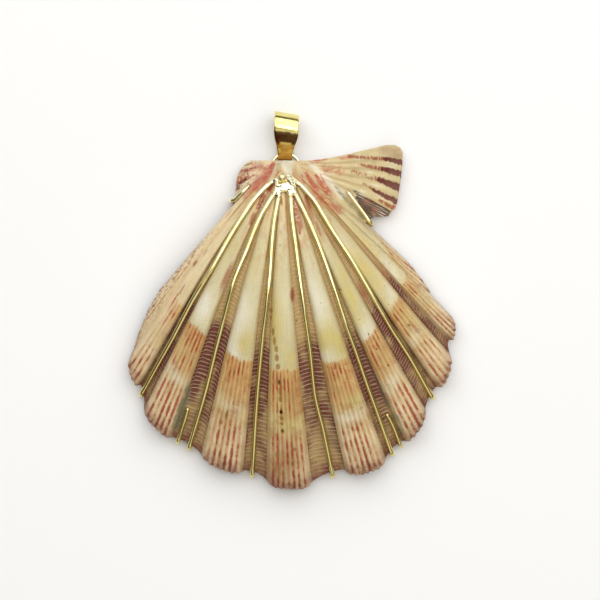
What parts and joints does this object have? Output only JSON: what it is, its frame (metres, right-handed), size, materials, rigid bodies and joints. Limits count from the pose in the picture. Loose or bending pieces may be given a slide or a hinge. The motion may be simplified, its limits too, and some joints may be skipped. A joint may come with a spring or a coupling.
{
  "type": "lions paw scallop shell pendant",
  "caption": "Fan-shaped ribbed scallop valve with two ears in a wire setting, hung from a ring and a swinging ribbon bail.",
  "frame": {"origin": "middle of the bounding box's base, on the surface that the back of the setting lies on", "axes": "+X to the shell's long ear, +Y from the margin to the hinge and the bail, +Z out of the convex side"},
  "size_m": [0.0756, 0.0872, 0.0184],
  "materials": {
    "shell": "satin",
    "gold_wire": "polished",
    "gold_sheet": "polished"
  },
  "bodies": {
    "pendant": {"shell_valve": "shell", "front_crown": "gold_wire", "front_wire_1": "gold_wire", "front_wire_2": "gold_wire", "front_wire_3": "gold_wire", "front_wire_4": "gold_wire", "front_wire_5": "gold_wire", "front_wire_6": "gold_wire", "rivet": "gold_wire", "back_plate": "gold_wire", "back_wire_left_ear": "gold_wire", "back_wire_right_ear": "gold_wire", "back_wire_lower_left": "gold_wire", "back_wire_lower_right": "gold_wire", "hanging_ring": "gold_wire"},
    "bail": {"bail": "gold_sheet"}
  },
  "joints": [
    {"name": "bail_swing", "type": "hinge", "parent": "pendant", "child": "bail", "pos_m": [-0.00167, 0.03383, 0.0017], "axis": [0.9986, -0.0523, 0], "range_deg": [-75, 50]}
  ]
}
